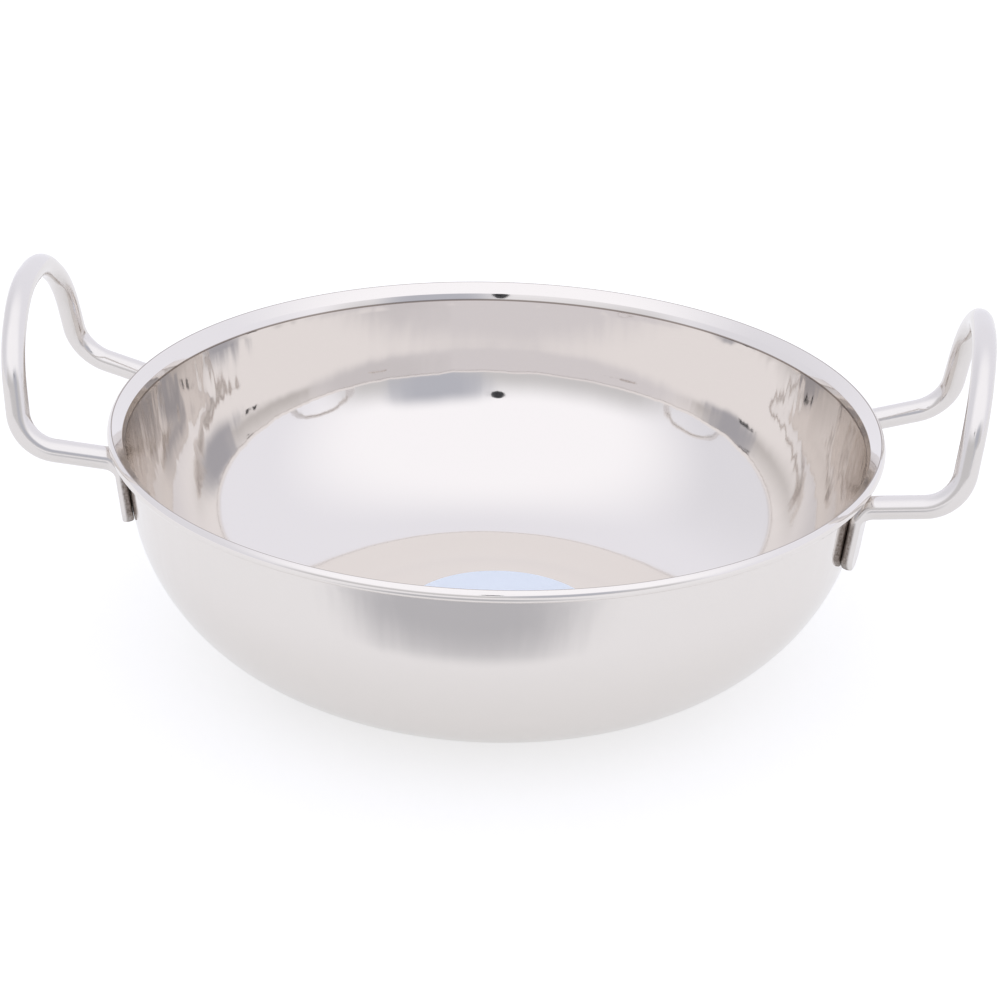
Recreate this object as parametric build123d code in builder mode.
from build123d import *
from math import cos, pi, radians, sin, tan
import os

# Stainless-steel kadai: a deep pressed bowl with a flared, folded rim,
# two bent-tube loop handles spot welded under the rim, and a round
# paper sticker on the inner floor.
# Millimetres. +Z is up, the origin is the middle of the underside and
# the two handles stand out along +X and -X.

# Bowl: the food side of the sheet, from the middle of the floor outward.
sheet = 1.0
floor_radius = 56.3
heel_radius = 76.0
heel_slope = 25.0
lower_side_radius = 69.0
lower_side_slope = 40.0
side_radius = 66.0
wall_slope = 84.0
wall_length = 19.65

# Rim: the wall kinks outward into a short neck, flares out from there up to a
# crisp ridge and folds back down.
neck_foot_slope = 71.1
neck_top_slope = 69.5
neck_radius = 97.0
flare_foot_slope = 46.7
flare_top_slope = 42.1
flare_radius = 63.0
ridge_slope = -28.0
roll_radius = 3.0
roll_end_slope = -90.0
hem_radius = 1.6
hem_end_slope = -180.0
hem_tail = 0.9
ridge_softness = 0.25

# Handle: one length of round tube, both ends squashed into flat feet. Places
# along its run: how far past the rim, how far apart the two halves are, and
# how far above the folded hem, under which the knee stays clear.
tube_diameter = 8.0
tube_wall = 1.4
knee_drop = 4.5
knee_radius = 6.0
corner_reach = 22.7
corner_apart = 86.2
corner_rise = 2.1
corner_radius = 14.3
strand_reach = 26.0
strand_apart = 72.2
strand_rise = 31.9
strand_radius = 30.3
crown_reach = 27.8
crown_apart = 29.2
crown_rise = 47.9
crown_radius = 37.1
handle_turn = 1.9

# Foot: the squashed end, seen from outside the bowl.
foot_angle = 15.9
foot_thickness = 4.0
foot_width = 11.4
foot_drop = 23.5
foot_shoulder_drop = 8.5
foot_neck_drop = 3.0
foot_neck_width = 8.0
foot_corner = 3.6
foot_corner_softness = 2.0
foot_edge_softness = 1.6
hem_clearance = 0.15

# Shares of the knee's bend at which the squashed tube's section is drawn,
# and how far the squash has gone where the bend ends.
knee_section_shares = (0.3, 0.6, 1.0)
bore_section_shares = (0.3, 0.6, 0.9)
knee_end_squash_share = 0.92

# Sticker on the inner floor.
sticker_diameter = 74.0
sticker_thickness = 0.2
sticker_right = 2.2
sticker_back = 9.5


def slope(degrees):
    """Direction in the section plane that climbs at this angle."""
    return Vector(1, 0).rotate(Axis.Z, degrees)


def across_sheet(curve, position):
    """Point on the far side of the sheet, straight across from the food side."""
    return curve @ position + (curve % position).rotate(Axis.Z, -90) * sheet


def run_point(reach, apart, rise):
    """Place on the tube's run, past the rim and above the folded hem."""
    return Vector(rim_radius + reach, apart / 2, hem_height + rise)


def bend(before, corner, after, radius):
    """Start and end of the arc that rounds a corner of the tube's run."""
    back = (before - corner).normalized()
    onward = (after - corner).normalized()
    setback = radius / tan(radians(back.get_angle(onward)) / 2)
    return corner + back * setback, corner + onward * setback


# Food side of the sheet. Every arc starts tangent to the line before it,
# apart from the kinks under the neck and the flare, and the ridge on top.
with BuildLine() as food_side:
    floor_line = Line((0, sheet), (floor_radius, sheet))
    heel = JernArc(floor_line @ 1, floor_line % 1, heel_radius, heel_slope)
    lower_turn = lower_side_slope - heel_slope
    lower_side = JernArc(heel @ 1, heel % 1, lower_side_radius, lower_turn)
    side_turn = wall_slope - lower_side_slope
    side = JernArc(lower_side @ 1, lower_side % 1, side_radius, side_turn)
    wall = PolarLine(side @ 1, wall_length, direction=side % 1)
    neck_turn = neck_top_slope - neck_foot_slope
    neck = JernArc(wall @ 1, slope(neck_foot_slope), neck_radius, neck_turn)
    flare_turn = flare_top_slope - flare_foot_slope
    flare = JernArc(neck @ 1, slope(flare_foot_slope), flare_radius, flare_turn)
    roll_turn = roll_end_slope - ridge_slope
    roll = JernArc(flare @ 1, slope(ridge_slope), roll_radius, roll_turn)
    hem_turn = hem_end_slope - roll_end_slope
    hem = JernArc(roll @ 1, roll % 1, hem_radius, hem_turn)
    tail = PolarLine(hem @ 1, hem_tail, direction=hem % 1)

# Section of the sheet: four strips that overlap at the kinks and the ridge.
with BuildSketch(Plane.XZ) as bowl_section:
    with BuildLine():
        add([floor_line, heel, lower_side, side, wall])
        under_floor = Line((0, 0), (floor_radius, 0))
        under_heel = JernArc(
            under_floor @ 1, under_floor % 1, heel_radius + sheet, heel_slope
        )
        under_lower = JernArc(
            under_heel @ 1, under_heel % 1, lower_side_radius + sheet, lower_turn
        )
        under_side = JernArc(
            under_lower @ 1, under_lower % 1, side_radius + sheet, side_turn
        )
        under_wall = PolarLine(under_side @ 1, wall_length, direction=wall % 1)
        Line(floor_line @ 0, under_floor @ 0)
        Line(wall @ 1, under_wall @ 1)
    make_face()
    with BuildLine():
        add(neck)
        under_neck = JernArc(
            across_sheet(neck, 0), neck % 0, neck_radius - sheet, neck_turn
        )
        Line(neck @ 0, under_neck @ 0)
        Line(neck @ 1, under_neck @ 1)
    make_face()
    with BuildLine():
        add(flare)
        under_flare = JernArc(
            across_sheet(flare, 0), flare % 0, flare_radius - sheet, flare_turn
        )
        Line(flare @ 0, under_flare @ 0)
        Line(flare @ 1, under_flare @ 1)
    make_face()
    with BuildLine():
        add([roll, hem, tail])
        under_roll = JernArc(
            across_sheet(roll, 0), roll % 0, roll_radius - sheet, roll_turn
        )
        under_hem = JernArc(across_sheet(hem, 0), hem % 0, hem_radius - sheet, hem_turn)
        under_tail = PolarLine(under_hem @ 1, hem_tail, direction=tail % 1)
        Line(roll @ 0, under_roll @ 0)
        Line(tail @ 1, under_tail @ 1)
    make_face()

with BuildPart() as bowl:
    add(bowl_section.sketch)
    revolve(axis=Axis.Z)
    ridge = bowl.edges().filter_by(GeomType.CIRCLE).sort_by(Axis.Z)[-1]
    fillet(ridge, ridge_softness)
bowl.part.label = "bowl"

# Room that the bowl takes up, seen from a handle: all that lies inside its
# outer skin, and the folded hem with a clearance round it.
rim_radius = (roll @ 1).X
hem_height = (hem @ 1).Y
hem_bottom = hem_height - hem_clearance
hem_reach = rim_radius + hem_clearance
with BuildSketch(Plane.XZ) as taken_section:
    with BuildLine():
        add([under_floor, under_heel, under_lower, under_side, under_wall])
        up_to_hem = Line(under_wall @ 1, ((tail @ 1).X, hem_bottom))
        under_hem_line = Line(up_to_hem @ 1, (hem_reach, hem_bottom))
        past_hem_line = Line(under_hem_line @ 1, (hem_reach, (flare @ 1).Y))
        over_line = Line(past_hem_line @ 1, (0, (flare @ 1).Y))
        Line(over_line @ 1, under_floor @ 0)
    make_face()
    add(bowl_section.sketch_local)
with BuildPart() as taken_room:
    add(taken_section.sketch)
    revolve(axis=Axis.Z)

# Seat of one foot: half a foot's thickness off the wall's outer face, at the
# height where the tube turns down. Up in the seat plane is up the wall.
knee_height = hem_height - knee_drop
outward = Vector(1, 0, 0).rotate(Axis.Z, foot_angle)
wall_lean = ((under_wall @ 1).Y - knee_height) / tan(radians(wall_slope))
seat_radius = (under_wall @ 1).X - wall_lean + foot_thickness / 2 / sin(radians(wall_slope))
knee = outward * seat_radius + Vector(0, 0, knee_height)
up_the_wall = outward * cos(radians(wall_slope)) + Vector(0, 0, sin(radians(wall_slope)))
along_the_rim = Vector(0, 0, 1).cross(outward)
outward_axis = Axis(knee, outward)
seat = Plane(origin=knee, x_dir=along_the_rim, z_dir=along_the_rim.cross(up_the_wall))

# Half of the tube's run, from the squashed foot out to the crown.
corner = run_point(corner_reach, corner_apart, corner_rise)
strand = run_point(strand_reach, strand_apart, strand_rise)
crown = run_point(crown_reach, crown_apart, crown_rise)
crown_middle = run_point(crown_reach, 0, crown_rise)
knee_start, knee_end = bend(corner, knee, knee - up_the_wall, knee_radius)
corner_start, corner_end = bend(knee, corner, strand, corner_radius)
strand_start, strand_end = bend(corner, strand, crown, strand_radius)
crown_start, crown_end = bend(strand, crown, crown_middle, crown_radius)
with BuildLine() as tube_run:
    leg = Line(knee_start, corner_start)
    TangentArc(corner_start, corner_end, tangent=leg % 1)
    lower_strand = Line(corner_end, strand_start)
    TangentArc(strand_start, strand_end, tangent=lower_strand % 1)
    upper_strand = Line(strand_end, crown_start)
    TangentArc(crown_start, crown_end, tangent=upper_strand % 1)
    Line(crown_end, crown_middle)
with BuildLine() as knee_run:
    knee_arc = TangentArc(knee_start, knee_end, tangent=knee - corner)
knee_axis = (knee - corner).cross(knee - knee_end).normalized()


def squash(position):
    """How far the tube is squashed at a share of the knee's bend."""
    return knee_end_squash_share * (1 - cos(pi * position)) / 2


def knee_plane(position):
    """Plane across the tube there, its X the way the squashed tube widens."""
    turned = knee_axis * (1 - position) + along_the_rim * position
    return Plane(knee_arc @ position, x_dir=turned, z_dir=knee_arc % position)


def tube_section(position, wall):
    """Outline of the tube there, inside a wall of this thickness."""
    width = tube_diameter + (foot_width - tube_diameter) * squash(position)
    thickness = tube_diameter - (tube_diameter - foot_thickness) * squash(position)
    Ellipse(width / 2 - wall, thickness / 2 - wall)


# One handle, before it is turned to its place round the rim.
with BuildPart() as foot:
    with BuildSketch(seat):
        with BuildLine():
            shoulder = foot_width / 2
            neck = foot_neck_width / 2
            FilletPolyline(
                (shoulder, -foot_shoulder_drop),
                (shoulder, foot_corner - foot_drop),
                (shoulder - foot_corner, -foot_drop),
                (foot_corner - shoulder, -foot_drop),
                (-shoulder, foot_corner - foot_drop),
                (-shoulder, -foot_shoulder_drop),
                (-neck, -foot_neck_drop),
                (neck, -foot_neck_drop),
                close=True,
                radius=foot_corner_softness,
            )
        make_face()
    extrude(amount=foot_thickness / 2, both=True)
    outer_face = foot.faces().sort_by(outward_axis)[-1]
    fillet(outer_face.edges(), foot_edge_softness)

with BuildPart() as handle_blank:
    # Round tube from the knee to the crown.
    with BuildSketch(knee_plane(0)):
        Circle(tube_diameter / 2)
    sweep(path=tube_run.wires()[0])
    # Knee, where the round tube turns down and goes flat.
    with BuildSketch(knee_plane(0)):
        Circle(tube_diameter / 2)
    for position in knee_section_shares:
        with BuildSketch(knee_plane(position)):
            tube_section(position, 0)
    loft()
    add(foot.part)
    # Bore of the tube, which the squash closes near the end of the knee.
    with BuildSketch(knee_plane(0)):
        Circle(tube_diameter / 2 - tube_wall)
    sweep(path=tube_run.wires()[0], mode=Mode.SUBTRACT)
    with BuildSketch(knee_plane(0)):
        Circle(tube_diameter / 2 - tube_wall)
    for position in bore_section_shares:
        with BuildSketch(knee_plane(position)):
            tube_section(position, tube_wall)
    loft(mode=Mode.SUBTRACT)
    mirror(about=Plane.XZ)
    add(taken_room.part, mode=Mode.SUBTRACT)

with BuildPart() as right_handle:
    add(handle_blank.part, rotation=(0, 0, -handle_turn))
right_handle.part.label = "right_handle"

with BuildPart() as left_handle:
    mirror(right_handle.part, about=Plane.YZ)
left_handle.part.label = "left_handle"

# Round paper sticker, flat on the inner floor a little behind the middle.
with BuildPart() as sticker:
    with BuildSketch(Plane.XY.offset(sheet)):
        with Locations((sticker_right, sticker_back)):
            Circle(sticker_diameter / 2)
    extrude(amount=sticker_thickness)
sticker.part.label = "sticker"

os.makedirs("parts", exist_ok=True)
export_step(bowl.part, "parts/bowl.step")
export_step(right_handle.part, "parts/right_handle.step")
export_step(left_handle.part, "parts/left_handle.step")
export_step(sticker.part, "parts/sticker.step")
